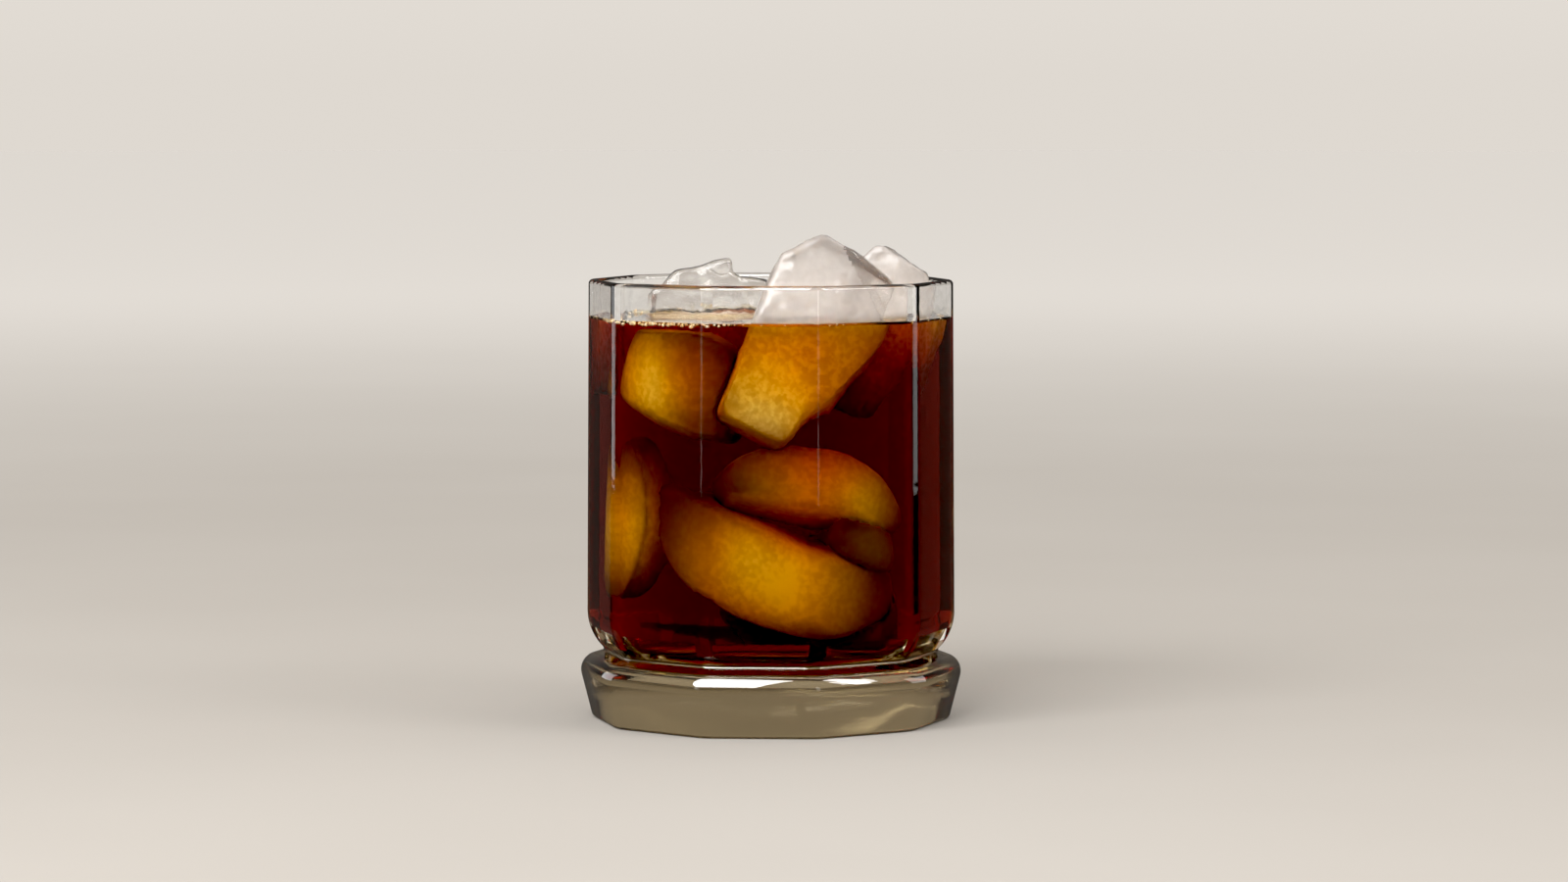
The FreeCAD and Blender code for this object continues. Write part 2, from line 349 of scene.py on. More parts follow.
def melt(piece, voxel, rounds, seed, rough, reach, heart, spread):
    """Turn a cut block into melted ice: even skin, softened edges, uneven faces."""
    apply_modifier(piece, "REMESH", mode="VOXEL", voxel_size=voxel, adaptivity=0)
    keep_off_glass(piece, reach, heart, spread)
    apply_modifier(piece, "REMESH", mode="VOXEL", voxel_size=voxel, adaptivity=0)
    apply_modifier(piece, "SMOOTH", factor=0.6, iterations=rounds)
    roughen(piece, rough * 1.5 * MM, 9 * MM, seed)
    roughen(piece, rough * 0.45 * MM, 2.4 * MM, seed + 3)
    keep_off_glass(piece, reach, heart, spread)
    apply_modifier(piece, "SMOOTH", factor=0.5, iterations=2)
    for face in piece.data.polygons:
        face.material_index = int(face.center.z < COFFEE_LEVEL)
    smooth(piece)


def depth_under(skin, vertex):
    """How much ice lies under a point on average, looking inwards in a cone."""
    inward = -vertex.normal
    side = inward.orthogonal().normalized()
    other = inward.cross(side)
    total = 0.0
    for k in range(CONE_RAYS):
        turn = k * 2 * math.pi / CONE_RAYS
        aside = math.cos(turn) * side + math.sin(turn) * other
        way = (inward + CONE_WIDTH * aside).normalized()
        found = skin.ray_cast(vertex.co + 0.1 * MM * inward, way, THICK_ICE)
        total += THICK_ICE if found[0] is None else found[3]
    return total / CONE_RAYS


def cloud_heart(piece, heart, spread):
    """Mark how cloudy the ice is: full at its heart, fading over the spread and where
    little ice lies underneath."""
    mesh = piece.data
    skin = skin_of(piece)
    marks = mesh.attributes.new("cloudiness", "FLOAT", "POINT")
    for vertex in mesh.vertices:
        away = (vertex.co - heart).length / spread
        share = (depth_under(skin, vertex) - THIN_RIM) / (FULL_BODY - THIN_RIM)
        share = min(1.0, max(0.0, share))
        marks.data[vertex.index].value = math.exp(-away ** 2) * share * share * (3 - 2 * share)


def add_lump(piece, spot, radius):
    """A round glassy lump, run together with the piece when it melts."""
    put_down()
    bpy.ops.mesh.primitive_ico_sphere_add(subdivisions=3, radius=radius, location=spot)
    name_piece("lump")
    piece.select_set(True)
    bpy.context.view_layer.objects.active = piece
    bpy.ops.object.join()


def clear_band(piece, node):
    """Clear ice where a piece has no cloud in it: all of it, or past an edge."""
    spot, outward = CLEAR_PAST[node]
    for face in piece.data.polygons:
        if face.material_index == 0 and (face.center - Vector(spot) * MM).dot(outward) > 0:
            face.material_index = 2


def melt_protruding(node, seed):
    """An ice piece that stands out of the coffee, from its block in the frame."""
    ice = copy_piece(frame["nodes"][node], "melting_" + node)
    ice.data.materials.clear()
    clean_shell(ice)
    heart = Vector(CLOUDY_AT[node]) * MM
    for spot, radius in LUMPS.get(node, ()):
        add_lump(ice, Vector(spot) * MM, radius * MM)
    melt(ice, FINE_MELT, 2, seed, 1.0, ICE_REACH, heart, WALL_SPREAD)
    cloud_heart(ice, heart, CLOUD_SPREAD)
    clear_band(ice, node)
    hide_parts(node)
    return ice


# The middle of the cloudy part of each piece that stands out, in millimetres.
CLOUDY_AT = {
    "ice_front": (-4.0, -33.0, 72.0),
    "ice_right": (26.0, -8.0, 96.0),
    "ice_left": (-12.0, 5.0, 98.0),
}
# Glassy lumps on a piece: place and radius, in millimetres.
LUMPS = {
    "ice_front": (((6.4, -25.6, 107.4), 1.5), ((4.5, -25.4, 106.4), 1.7),
                  ((3.2, -25.2, 104.4), 1.6), ((2.6, -25.8, 102.2), 1.4)),
}
# Where clear ice begins on a piece, in millimetres, and the way it lies from there:
# none of the right piece, all of the left one.
CLEAR_PAST = {
    "ice_front": ((24.0, -30.0, 96.0), Vector((0.9, 0.0, 0.43))),
    "ice_right": ((60.0, 0.0, 100.0), Vector((1, 0, 0))),
    "ice_left": ((-60.0, 0.0, 100.0), Vector((1, 0, 0))),
}


def mould_crescent():
    """A half-moon of machine ice: half a drum with blunt tips and low domed faces."""
    put_down()
    bpy.ops.mesh.primitive_cylinder_add(vertices=48, radius=MOON_RADIUS, depth=MOON_DEPTH,
                                        rotation=(math.pi / 2, 0, 0))
    moon = name_piece("crescent")
    work_on(moon)
    bpy.ops.mesh.select_all(action="SELECT")
    bpy.ops.mesh.bisect(plane_co=(0, 0, MOON_CUT), plane_no=(0, 0, -1),
                        use_fill=True, clear_outer=True)
    for side in (-1, 1):
        bpy.ops.mesh.select_all(action="SELECT")
        bpy.ops.mesh.bisect(plane_co=(MOON_TIP[0] * side, 0, MOON_TIP[1]),
                            plane_no=(0.8 * side, 0, -0.6),
                            use_fill=True, clear_outer=True)
    for side in (-1, 1):
        put_down()
        for face in moon.data.polygons:
            face.select = face.normal.y * side > 0.9
        bpy.context.view_layer.objects.active = moon
        bpy.ops.object.mode_set(mode="EDIT")
        for rise, share in MOON_DOME:
            bpy.ops.mesh.extrude_region_move(
                TRANSFORM_OT_translate={"value": (0, rise * side, 0)})
            bpy.ops.transform.resize(value=(share, 1, share),
                                     center_override=(0, 0, MOON_MIDDLE))
    bpy.ops.mesh.select_all(action="SELECT")
    bpy.ops.mesh.normals_make_consistent(inside=False)
    put_down()
    return moon


def mould_chunk():
    """A squarish lump: a block with one corner struck off, rounded a little."""
    put_down()
    bpy.ops.mesh.primitive_cube_add(size=1)
    chunk = name_piece("chunk")
    work_on(chunk)
    bpy.ops.mesh.select_all(action="SELECT")
    bpy.ops.transform.resize(value=CHUNK_SIZE)
    bpy.ops.mesh.bisect(plane_co=CHUNK_CORNER, plane_no=(0.8, 0.1, 0.6),
                        use_fill=True, clear_outer=True)
    bpy.ops.mesh.select_all(action="SELECT")
    bpy.ops.mesh.normals_make_consistent(inside=False)
    bpy.ops.mesh.subdivide(number_cuts=5)
    put_down()
    apply_modifier(chunk, "CAST", factor=CHUNK_ROUNDNESS, cast_type="SPHERE")
    return chunk


# name: (mould, size as shares of it, turn in degrees, middle, cloudy heart, its spread).
# The places and the spread are in millimetres.
SUNKEN = {
    "sunken_upper_left": ("chunk", (1.15, 1.15, 1.20), (-8, 24, -14), (-16.0, -19.5, 79.0),
                          (-24, -24, 77), 16),
    "sunken_tall_left": ("crescent", (0.95, 1.0, 0.85), (0, 96, -48), (-33.0, -6.6, 48.0),
                         (-27.5, -20, 43), 20),
    "sunken_half_moon": ("crescent", (1.08, 1.15, 0.88), (-20, 14, 15), (8.0, -25.3, 44.6),
                         (12, -32, 51), 22),
    "sunken_great": ("crescent", (1.52, 1.30, 1.16), (-8, 205, 2), (6.5, -25.5, 49.4),
                     (2, -34, 35), 18),
    "sunken_wedge": ("chunk", (0.7, 0.9, 0.6), (0, 24, 20), (20.0, -21.5, 43.0),
                     (21, -28, 43), 20),
    "sunken_low_right": ("chunk", (1.0, 1.1, 1.0), (10, 30, 25), (16.0, -13.0, 26.5),
                         (20, -22, 26), 9),
    "sunken_bottom": ("crescent", (0.85, 1.0, 0.7), (70, 20, 60), (-7.0, -6.0, 24.0),
                      (-9, -25, 21), 10),
}


def drop_chips(piece):
    """Keep a piece's largest part and drop the chips that came off it."""
    before = set(bpy.data.objects)
    work_on(piece)
    bpy.ops.mesh.select_all(action="SELECT")
    bpy.ops.mesh.separate(type="LOOSE")
    put_down()
    for chip in set(bpy.data.objects) - before:
        if len(chip.data.vertices) > len(piece.data.vertices):
            piece.data, chip.data = chip.data, piece.data
        discard(chip)
    piece.data.name = piece.name


def part_company(ice, neighbours):
    """Make room in a piece for the neighbours it would run into, and melt the cut."""
    met = False
    for neighbour in neighbours:
        room = copy_piece(neighbour, "room")
        apply_modifier(room, "DISPLACE", strength=SPACE_BETWEEN, mid_level=0)
        if skin_of(ice).overlap(skin_of(room)):
            met = True
            apply_modifier(ice, "BOOLEAN", operation="DIFFERENCE", object=room,
                           solver="MANIFOLD")
        discard(room)
    if met:
        ice.data.materials.clear()
        apply_modifier(ice, "REMESH", mode="VOXEL", voxel_size=SUNKEN_MELT, adaptivity=0)
        apply_modifier(ice, "SMOOTH", factor=0.5, iterations=2)
        drop_chips(ice)
        smooth(ice)


def sink_ice(standing):
    """The ice in the coffee, each piece making room for those before it."""
    shapes = {"crescent": mould_crescent(), "chunk": mould_chunk()}
    sunk = []
    for seed, (name, entry) in enumerate(SUNKEN.items()):
        shape, size, turn, middle, heart, spread = entry
        ice = copy_piece(shapes[shape], name)
        lie = Euler([math.radians(angle) for angle in turn]).to_matrix().to_4x4()
        place = Matrix.Translation(Vector(middle) * MM)
        ice.data.transform(place @ lie @ Matrix.Diagonal((*size, 1)))
        heart = Vector(heart) * MM
        melt(ice, SUNKEN_MELT, 22, seed + 11, 0.7, SUNKEN_REACH, heart, spread * MM)
        for vertex in ice.data.vertices:
            vertex.co.z = min(vertex.co.z, COFFEE_LEVEL - UNDER_LEVEL)
        part_company(ice, standing + sunk)
        for face in ice.data.polygons:
            face.material_index = 0
        cloud_heart(ice, heart, spread * MM)
        sunk.append(ice)
    for shape in shapes.values():
        discard(shape)
    return sunk


# ---------------------------------------------------------------- coffee

def hollow_for(ice):
    """The ice's shape a hair smaller, to be taken out of the coffee."""
    hollow = copy_piece(ice, "hollow")
    apply_modifier(hollow, "DISPLACE", strength=-INTO_COFFEE, mid_level=0)
    return hollow


def from_wall(point):
    """How far a point is from the nearest panel of the bowl's inside."""
    flat = (BOWL_INSIDE + CORNER_EASE) * math.cos(HALF_PANEL)
    reach = max(
        point.x * math.cos(turn) + point.y * math.sin(turn)
        for turn in (HALF_PANEL + k * 2 * HALF_PANEL for k in range(PANELS))
    )
    return flat - reach


def pour_coffee(all_ice):
    """Fill the bowl, level it off, take the ice out of it, and let its edges creep up."""
    inside = [
        (20.0 * MM, COFFEE_FLOOR - INTO_WALL, 0, 0),
        (BOWL_INSIDE + INTO_WALL, COFFEE_FLOOR - INTO_WALL, FLOOR_ROUND + INTO_WALL, 12),
        (BOWL_INSIDE + INTO_WALL, COFFEE_LEVEL + 4 * MM, 0, 0),
    ]
    coffee = draw_up("cold_brew", outline(inside))
    put_down()
    bpy.ops.mesh.primitive_grid_add(x_subdivisions=160, y_subdivisions=160, size=100 * MM,
                                    location=(0, 0, COFFEE_LEVEL))
    level = name_piece("level")
    work_on(level)
    bpy.ops.mesh.select_all(action="SELECT")
    bpy.ops.mesh.extrude_region_move(TRANSFORM_OT_translate={"value": (0, 0, -0.1)})
    put_down()
    clean_shell(level)
    apply_modifier(coffee, "BOOLEAN", operation="INTERSECT", object=level, solver="MANIFOLD")
    discard(level)
    hollows = [hollow_for(ice) for ice in all_ice]
    skins = []
    for hollow in hollows:
        apply_modifier(coffee, "BOOLEAN", operation="DIFFERENCE", object=hollow,
                       solver="MANIFOLD")
        skins.append(skin_of(hollow))
        discard(hollow)
    coffee.data.materials.clear()
    for face in coffee.data.polygons:
        face.material_index = 0
    top = [
        face.index for face in coffee.data.polygons
        if face.normal.z > 0.99 and abs(face.center.z - COFFEE_LEVEL) < ON_LEVEL
    ]
    creep(coffee, skins)
    coffee.data.validate()
    smooth(coffee, 50)
    return coffee, lift_surface(coffee, top)


def lift_surface(coffee, top):
    """The coffee's shining surface, as a skin of its own just above the coffee."""
    surface = copy_piece(coffee, "coffee_surface")
    work_on(surface)
    put_down()
    for index in top:
        surface.data.polygons[index].select = True
    bpy.context.view_layer.objects.active = surface
    bpy.ops.object.mode_set(mode="EDIT")
    bpy.ops.mesh.select_all(action="INVERT")
    bpy.ops.mesh.delete(type="FACE")
    bpy.ops.mesh.select_all(action="SELECT")
    bpy.ops.transform.translate(value=(0, 0, SKIN_GAP))
    put_down()
    return surface


def creep(coffee, skins):
    """Raise the coffee's surface where it meets the wall and the ice."""
    for vertex in coffee.data.vertices:
        spot = vertex.co
        if abs(spot.z - COFFEE_LEVEL) > ON_LEVEL:
            continue
        to_ice, touched = 1.0, None
        for skin in skins:
            found = skin.find_nearest(spot, 8 * MM)
            if found[0] is not None and found[3] < to_ice:
                to_ice, touched = found[3], skin
        near = max(0.0, min(to_ice, from_wall(spot)))
        spot.z += CREEP_RISE * math.exp(-near / CREEP_REACH)
        if to_ice < 0.01 * MM:
            spot.xy = touched.find_nearest(spot)[0].xy


# ---------------------------------------------------------------- bubbles

def blow_bubbles():
    """Tiny bubbles along the coffee's edge, thickest at the front left."""
    rng = random.Random(7)
    put_down()
    bpy.ops.mesh.primitive_ico_sphere_add(subdivisions=2, radius=1)
    bubble = name_piece("bubble")
    work_on(bubble)
    bpy.ops.mesh.select_all(action="SELECT")
    bpy.ops.transform.resize(value=(1, 1, 0.8))
    put_down()
    string = []
    flat = (BOWL_INSIDE + CORNER_EASE) * math.cos(HALF_PANEL)
    for i in range(STRING_BUBBLES + LOOSE_BUBBLES):
        if i < STRING_BUBBLES:
            along = STRING_LENGTH * (i + rng.uniform(-0.3, 0.3)) / STRING_BUBBLES
            turn = math.radians(STRING_START + along)
            radius = rng.uniform(0.26, 0.58) * MM
            back = radius * rng.uniform(0.75, 0.95)
            rise = CREEP_RISE - radius * rng.uniform(0.4, 1.9)
        else:
            turn = math.radians(rng.uniform(0, 360))
            radius = rng.uniform(0.14, 0.32) * MM
            back = radius + abs(rng.gauss(0, 0.5 * MM))
            rise = CREEP_RISE * math.exp(-back / CREEP_REACH) + 0.3 * radius
        offset = (turn / (2 * HALF_PANEL) % 1 - 0.5) * 2 * HALF_PANEL
        reach = flat / math.cos(offset) - back
        twin = copy_piece(bubble, "bubble")
        spot = (reach * math.cos(turn), reach * math.sin(turn), COFFEE_LEVEL + rise)
        twin.data.transform(Matrix.Translation(spot) @ Matrix.Scale(radius, 4))
        string.append(twin)
    discard(bubble)
    put_down()
    for twin in string:
        twin.select_set(True)
    bpy.context.view_layer.objects.active = string[0]
    bpy.ops.object.join()
    bubbles = name_piece("edge_bubbles")
    smooth(bubbles)
    return bubbles


# ---------------------------------------------------------------- finishes

def new_finish(name):
    finish = bpy.data.materials.new(name)
    finish.use_nodes = True
    nodes = finish.node_tree.nodes
    return finish, nodes, finish.node_tree.links, nodes["Principled BSDF"]


def clouds_group():
    """Cloudy variation from two sizes of noise, as a mask, a speckle and a height."""
    group = bpy.data.node_groups.new("cloudy_mass", "ShaderNodeTree")
    face = group.interface
    scale = face.new_socket("Scale", in_out="INPUT", socket_type="NodeSocketFloat")
    scale.default_value = 60.0
    face.new_socket("Mask", in_out="OUTPUT", socket_type="NodeSocketFloat")
    face.new_socket("Height", in_out="OUTPUT", socket_type="NodeSocketFloat")
    nodes, links = group.nodes, group.links
    start = nodes.new("NodeGroupInput")
    end = nodes.new("NodeGroupOutput")
    place = nodes.new("ShaderNodeTexCoord")
    broad = nodes.new("ShaderNodeTexNoise")
    broad.inputs["Detail"].default_value = 3
    fine = nodes.new("ShaderNodeTexNoise")
    fine.inputs["Detail"].default_value = 4
    face.new_socket("Speckle", in_out="OUTPUT", socket_type="NodeSocketFloat")
    grains = nodes.new("ShaderNodeMapRange")
    grains.inputs["From Min"].default_value = 0.42
    grains.inputs["From Max"].default_value = 0.62
    links.new(fine.outputs["Fac"], grains.inputs["Value"])
    links.new(grains.outputs[0], end.inputs["Speckle"])
    finer = nodes.new("ShaderNodeMath")
    finer.operation = "MULTIPLY"
    finer.inputs[1].default_value = 8.0
    ramp = nodes.new("ShaderNodeMapRange")
    ramp.inputs["From Min"].default_value = 0.35
    ramp.inputs["From Max"].default_value = 0.65
    both = nodes.new("ShaderNodeMath")
    both.operation = "MULTIPLY_ADD"
    both.inputs[1].default_value = 0.25
    links.new(place.outputs["Object"], broad.inputs["Vector"])
    links.new(place.outputs["Object"], fine.inputs["Vector"])
    links.new(start.outputs["Scale"], broad.inputs["Scale"])
    links.new(start.outputs["Scale"], finer.inputs[0])
    links.new(finer.outputs[0], fine.inputs["Scale"])
    links.new(broad.outputs["Fac"], ramp.inputs["Value"])
    links.new(ramp.outputs[0], end.inputs["Mask"])
    links.new(fine.outputs["Fac"], both.inputs[0])
    links.new(broad.outputs["Fac"], both.inputs[2])
    links.new(both.outputs[0], end.inputs["Height"])
    return group


def use_clouds(nodes, group, scale):
    node = nodes.new("ShaderNodeGroup")
    node.node_tree = group
    node.inputs["Scale"].default_value = scale
    return node


def add_bump(nodes, links, height, shader, strength, distance):
    bump = nodes.new("ShaderNodeBump")
    bump.inputs["Strength"].default_value = strength
    bump.inputs["Distance"].default_value = distance
    links.new(height, bump.inputs["Height"])
    links.new(bump.outputs["Normal"], shader.inputs["Normal"])


def pressed_glass_finish(group, name, bending, tint, blur=0.0):
    """Glass; bending is its refraction against what lies on its other side."""
    finish, nodes, links, shader = new_finish(name)
    shader.inputs["Base Color"].default_value = (*tint, 1)
    shader.inputs["Roughness"].default_value = blur
    shader.inputs["Coat Weight"].default_value = 1.0 if blur else 0.0
    shader.inputs["Coat Roughness"].default_value = 0.0
    shader.inputs["IOR"].default_value = bending
    shader.inputs["Transmission Weight"].default_value = 1.0
    clouds = use_clouds(nodes, group, 55.0)
    add_bump(nodes, links, clouds.outputs["Height"], shader, 0.5, 0.12 * MM)
    return finish


def coffee_surface_finish(group):
    finish, nodes, links, shader = new_finish("coffee_surface")
    shader.inputs["Base Color"].default_value = (1, 0.97, 0.92, 1)
    shader.inputs["Roughness"].default_value = 0.0
    shader.inputs["IOR"].default_value = 1.333
    shader.inputs["Transmission Weight"].default_value = 1.0
    clouds = use_clouds(nodes, group, 40.0)
    add_bump(nodes, links, clouds.outputs["Height"], shader, 0.3, 0.1 * MM)
    return finish


def cold_brew_finish():
    """The coffee's body: it soaks up light, and leaves bending it to glass and surface."""
    finish, nodes, links, shader = new_finish("cold_brew")
    shader.inputs["Base Color"].default_value = (1, 1, 1, 1)
    shader.inputs["Roughness"].default_value = 0.0
    shader.inputs["IOR"].default_value = 1.0
    shader.inputs["Transmission Weight"].default_value = 1.0
    brew = nodes.new("ShaderNodeVolumeAbsorption")
    brew.inputs["Color"].default_value = (0.933, 0.768, 0.0, 1)
    brew.inputs["Density"].default_value = 560.0
    links.new(brew.outputs["Volume"], nodes["Material Output"].inputs["Volume"])
    return finish


def ice_finish(group, name, bending, clearness, blur, mottling, clear, cloudy):
    """Ice, clear at its rims and cloudy at its heart; clearness is its transmission."""
    finish, nodes, links, shader = new_finish(name)
    clouds = use_clouds(nodes, group, 90.0)
    heart = nodes.new("ShaderNodeAttribute")
    heart.attribute_name = "cloudiness"
    both = nodes.new("ShaderNodeMath")
    both.operation = "ADD"
    patchy = nodes.new("ShaderNodeMath")
    patchy.operation = "MULTIPLY_ADD"
    patchy.inputs[1].default_value = mottling
    patchy.inputs[2].default_value = 1 - mottling
    cloud = nodes.new("ShaderNodeMath")
    cloud.operation = "MULTIPLY"
    cloud.use_clamp = True
    mix = nodes.new("ShaderNodeMix")
    mix.data_type = "RGBA"
    mix.inputs["A"].default_value = (*clear, 1)
    mix.inputs["B"].default_value = (*cloudy, 1)
    links.new(clouds.outputs["Mask"], both.inputs[0])
    links.new(clouds.outputs["Speckle"], both.inputs[1])
    links.new(both.outputs[0], patchy.inputs[0])
    links.new(heart.outputs["Fac"], cloud.inputs[0])
    links.new(patchy.outputs[0], cloud.inputs[1])
    links.new(cloud.outputs[0], mix.inputs["Factor"])
    links.new(mix.outputs["Result"], shader.inputs["Base Color"])
    shader.inputs["Roughness"].default_value = blur
    shader.inputs["IOR"].default_value = bending
    shader.inputs["Transmission Weight"].default_value = clearness
    shader.inputs["Subsurface Weight"].default_value = 1.0
    shader.inputs["Subsurface Radius"].default_value = (1, 0.95, 0.9)
    shader.inputs["Subsurface Scale"].default_value = 3 * MM
    add_bump(nodes, links, clouds.outputs["Height"], shader, 0.5, 0.4 * MM)
    return finish


def bubble_finish(group):
    finish, nodes, links, shader = new_finish("edge_bubbles")
    clouds = use_clouds(nodes, group, 300.0)
    mix = nodes.new("ShaderNodeMix")
    mix.data_type = "RGBA"
    mix.inputs["A"].default_value = (0.80, 0.52, 0.26, 1)
    mix.inputs["B"].default_value = (0.97, 0.86, 0.68, 1)
    links.new(clouds.outputs["Mask"], mix.inputs["Factor"])
    links.new(mix.outputs["Result"], shader.inputs["Base Color"])
    shader.inputs["Roughness"].default_value = 0.08
    shader.inputs["IOR"].default_value = 1.33
    shader.inputs["Transmission Weight"].default_value = 0.15
    return finish


def finish_with(pieces, materials):
    for piece in pieces:
        for material in materials:
            piece.data.materials.append(material)
        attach(piece, "root")


# ---------------------------------------------------------------- studio

def dim_when_mirrored(nodes, links, lit, output):
    """Make the floor or the sky darker where a glossy thing mirrors it, as black cards
    would."""
    path = nodes.new("ShaderNodeLightPath")
    is_sky = "World Output" in nodes
    dark = nodes.new("ShaderNodeBackground" if is_sky else "ShaderNodeEmission")
    dark.inputs["Color"].default_value = (0.05, 0.045, 0.04, 1)
    dark.inputs["Strength"].default_value = 1.0
    mirrored = nodes.new("ShaderNodeMath")
    mirrored.operation = "SUBTRACT"
    mirrored.use_clamp = True
    share = nodes.new("ShaderNodeMath")
    share.operation = "MULTIPLY"
    share.inputs[1].default_value = MIRROR_DIMMING
    mix = nodes.new("ShaderNodeMixShader")
    links.new(path.outputs["Is Glossy Ray"], mirrored.inputs[0])
    links.new(path.outputs["Is Transmission Ray"], mirrored.inputs[1])
    links.new(mirrored.outputs[0], share.inputs[0])
    links.new(share.outputs[0], mix.inputs["Fac"])
    links.new(lit, mix.inputs[1])
    links.new(dark.outputs[0], mix.inputs[2])
    links.new(mix.outputs[0], output)


def lay_floor(group):
    """A plain pale floor with light painted into its colour: it turns lighter far away, so
    that it meets the sky without a line.
    """
    put_down()
    bpy.ops.mesh.primitive_circle_add(vertices=96, radius=FLOOR_RADIUS, fill_type="NGON",
                                      location=(0, 0, -FLOOR_DROP))
    floor = name_piece("floor")
    paper, nodes, links, shader = new_finish("pale_floor")
    clouds = use_clouds(nodes, group, 3.0)
    mix = nodes.new("ShaderNodeMix")
    mix.data_type = "RGBA"
    mix.inputs["A"].default_value = (0.275, 0.256, 0.234, 1)
    mix.inputs["B"].default_value = (0.29, 0.271, 0.249, 1)
    links.new(clouds.outputs["Mask"], mix.inputs["Factor"])
    place = nodes.new("ShaderNodeTexCoord")
    far = nodes.new("ShaderNodeVectorMath")
    far.operation = "LENGTH"
    share = nodes.new("ShaderNodeMapRange")
    share.interpolation_type = "SMOOTHSTEP"
    share.inputs["From Min"].default_value = 0.2
    share.inputs["From Max"].default_value = 2.4
    # Painted light: the floor's colour is lightened with distance, standing in for the lamps'
    # light, which falls off far from the glass.
    painted_far_light = nodes.new("ShaderNodeMix")
    painted_far_light.data_type = "RGBA"
    painted_far_light.inputs["B"].default_value = (0.504, 0.485, 0.465, 1)
    links.new(place.outputs["Object"], far.inputs[0])
    links.new(far.outputs["Value"], share.inputs["Value"])
    links.new(share.outputs[0], painted_far_light.inputs["Factor"])
    links.new(mix.outputs["Result"], painted_far_light.inputs["A"])
    links.new(painted_far_light.outputs["Result"], shader.inputs["Base Color"])
    shader.inputs["Roughness"].default_value = 0.85
    shader.inputs["Specular IOR Level"].default_value = 0.0
    dim_when_mirrored(nodes, links, shader.outputs[0],
                      nodes["Material Output"].inputs["Surface"])
    floor.data.materials.append(paper)


def light_studio():
    """A broad pale sky, brighter overhead, with a key and a fill lamp. The shines and
    the strips show only as highlights on glossy things."""
    world = bpy.context.scene.world or bpy.data.worlds.new("studio")
    bpy.context.scene.world = world
    world.use_nodes = True
    nodes, links = world.node_tree.nodes, world.node_tree.links
    sky = nodes["Background"]
    place = nodes.new("ShaderNodeTexCoord")
    split = nodes.new("ShaderNodeSeparateXYZ")
    ramp = nodes.new("ShaderNodeValToRGB")
    ramp.color_ramp.elements[0].position = 0.0
    ramp.color_ramp.elements[0].color = (0.74, 0.695, 0.64, 1)
    ramp.color_ramp.elements[1].position = 0.7
    ramp.color_ramp.elements[1].color = (1.6, 1.57, 1.52, 1)
    links.new(place.outputs["Generated"], split.inputs[0])
    links.new(split.outputs["Z"], ramp.inputs["Fac"])
    links.new(ramp.outputs["Color"], sky.inputs["Color"])
    sky.inputs["Strength"].default_value = 1.0
    dim_when_mirrored(nodes, links, sky.outputs[0], nodes["World Output"].inputs["Surface"])
    put_down()
    for name, spot, aim, size, power in (
        ("key", (-0.50, -0.95, 0.85), (0, 0, 0.05), (1.0, 0.6), 24.0),
        ("fill", (0.98, -0.46, 0.80), (0, 0, 0.05), (0.5, 0.5), 6.0),
        ("left_shine", (-0.45, -0.92, 1.00), (0, 0, 0.01), (1.1, 1.5), 58.0),
        ("right_shine", (0.95, -0.44, 0.90), (0, 0, 0.01), (0.26, 1.1), 9.0),
        ("left_strip", (-0.40, -0.45, 0.13), (0, 0, 0.06), (0.04, 0.24), 0.05),
        ("right_strip", (0.30, -0.52, 0.13), (0, 0, 0.06), (0.04, 0.24), 0.04),
        ("far_left_strip", (-0.55, 0.24, 0.13), (0, 0, 0.06), (0.22, 0.24), 0.32),
        ("far_right_strip", (0.59, 0.12, 0.13), (0, 0, 0.06), (0.22, 0.24), 0.28),
    ):
        bpy.ops.object.light_add(type="AREA", location=spot)
        lamp = bpy.context.object
        lamp.name = name
        lamp.visible_camera = False
        if "shine" in name or "strip" in name:
            lamp.visible_diffuse = False
            lamp.visible_transmission = False
        lamp.data.shape = "RECTANGLE"
        lamp.data.size, lamp.data.size_y = size
        lamp.data.energy = power
        away = Vector(aim) - Vector(spot)
        lamp.rotation_euler = away.to_track_quat("-Z", "Y").to_euler()


def set_camera():
    put_down()
    bpy.ops.object.camera_add(location=(63.25 * MM, -1148.26 * MM, 146.9 * MM),
                              rotation=(math.radians(85.86), 0, math.radians(3.0)))
    camera = bpy.context.object
    camera.data.lens = 115.4
    camera.data.sensor_width = 36.0
    camera.data.clip_start = 0.01
    bpy.context.scene.camera = camera


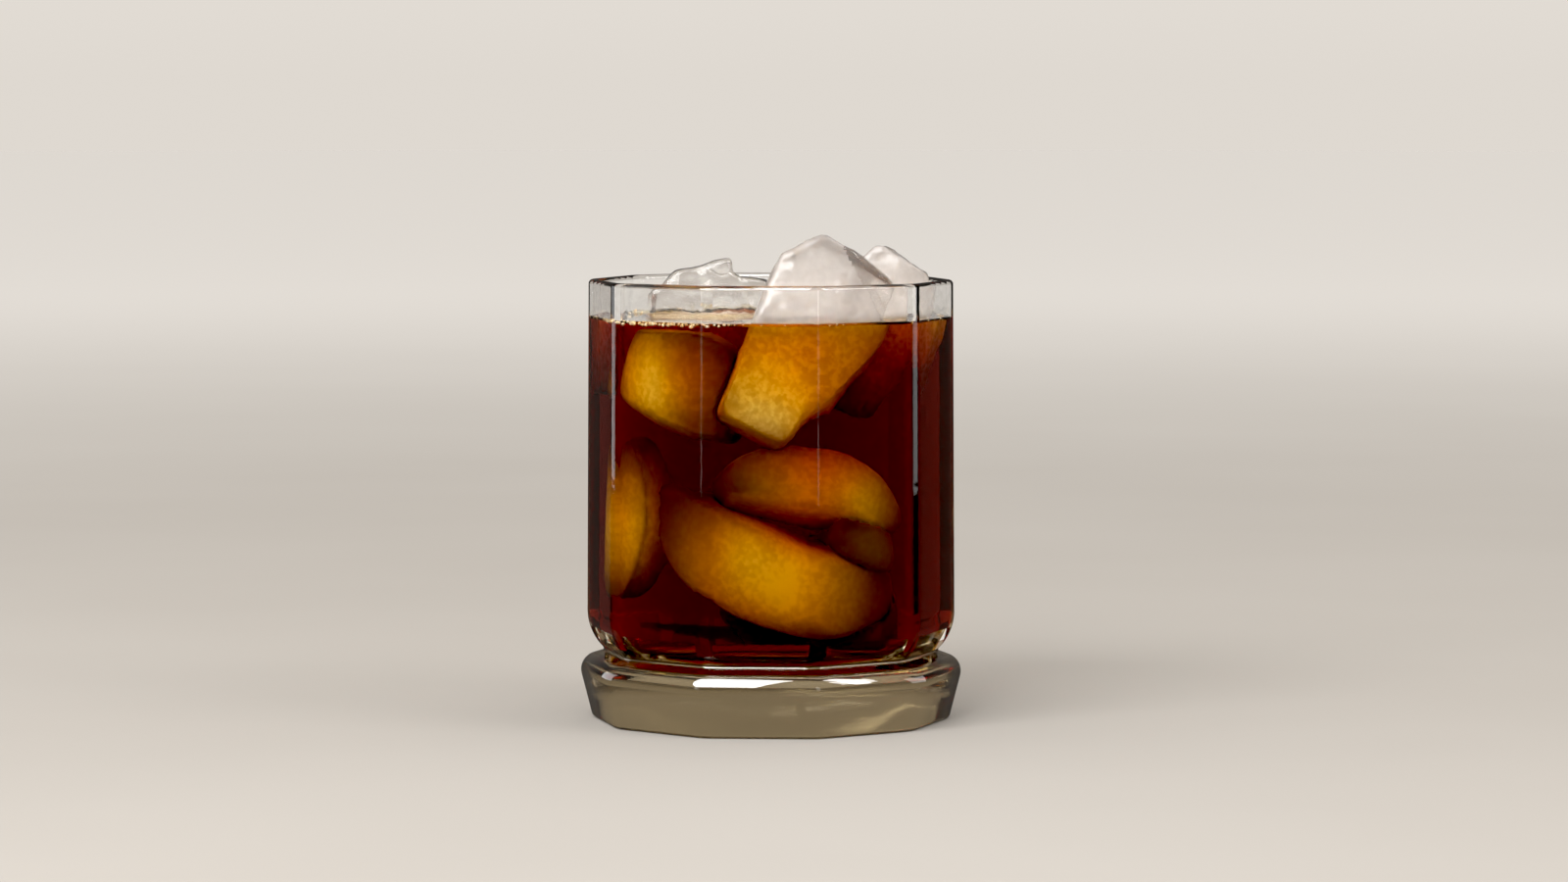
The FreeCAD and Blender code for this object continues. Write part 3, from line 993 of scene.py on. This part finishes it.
def set_light_paths():
    cycles = bpy.context.scene.cycles
    cycles.max_bounces = 40
    cycles.transmission_bounces = 32
    cycles.glossy_bounces = 8
    cycles.diffuse_bounces = 5
    cycles.volume_bounces = 0
    cycles.transparent_max_bounces = 16
    cycles.caustics_reflective = True
    cycles.caustics_refractive = True
    cycles.sample_clamp_indirect = 8.0
    view = bpy.context.scene.view_settings
    view.view_transform = "Standard"
    view.use_curve_mapping = True
    view.curve_mapping.black_level = (0.012, 0.012, 0.012)
    view.curve_mapping.update()


# ---------------------------------------------------------------- the drink

put_down()
set_camera()
glass = press_glass()
protruding = [melt_protruding(node, seed) for seed, node in
              enumerate(("ice_front", "ice_right", "ice_left"))]
sunken = sink_ice(protruding)
coffee, surface = pour_coffee(protruding + sunken)
bubbles = blow_bubbles()
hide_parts("glass")
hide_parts("coffee")

cloudy = clouds_group()
finish_with([glass], [
    pressed_glass_finish(cloudy, "pressed_glass", 1.5, (0.985, 0.985, 0.98)),
    pressed_glass_finish(cloudy, "wetted_glass", 1.125, (1, 1, 1)),
    # The foot's dark warm tint is painted shade: it stands in for the shade the coffee above
    # casts into the clear glass foot.
    pressed_glass_finish(cloudy, "glass_foot_painted_shade", 1.5, (0.24, 0.19, 0.115), 0.04),
    # The glass floor under the coffee is tinted dark red-brown: painted shade, standing in for
    # the shade under the coffee.
    pressed_glass_finish(cloudy, "wetted_floor_painted_shade", 1.125, (0.20, 0.13, 0.08)),
])
finish_with([coffee], [cold_brew_finish()])
finish_with([surface], [coffee_surface_finish(cloudy)])
finish_with(protruding, [
    ice_finish(cloudy, "melting_ice", 1.31, 0.72, 0.18, 0.4,
               (0.60, 0.56, 0.53), (0.88, 0.825, 0.785)),
    ice_finish(cloudy, "ice_in_coffee", 1.02, 0.25, 0.3, 0.42,
               (0.24, 0.10, 0.02), (0.98, 0.98, 0.98)),
    ice_finish(cloudy, "clear_ice", 1.31, 0.97, 0.04, 0.3,
               (0.88, 0.86, 0.84), (0.95, 0.92, 0.90)),
])
finish_with(sunken, [
    ice_finish(cloudy, "sunken_ice", 1.02, 0.25, 0.3, 0.26,
               (0.09, 0.03, 0.004), (0.98, 0.98, 0.98)),
])
finish_with([bubbles], [bubble_finish(cloudy)])
lay_floor(cloudy)
light_studio()
set_light_paths()
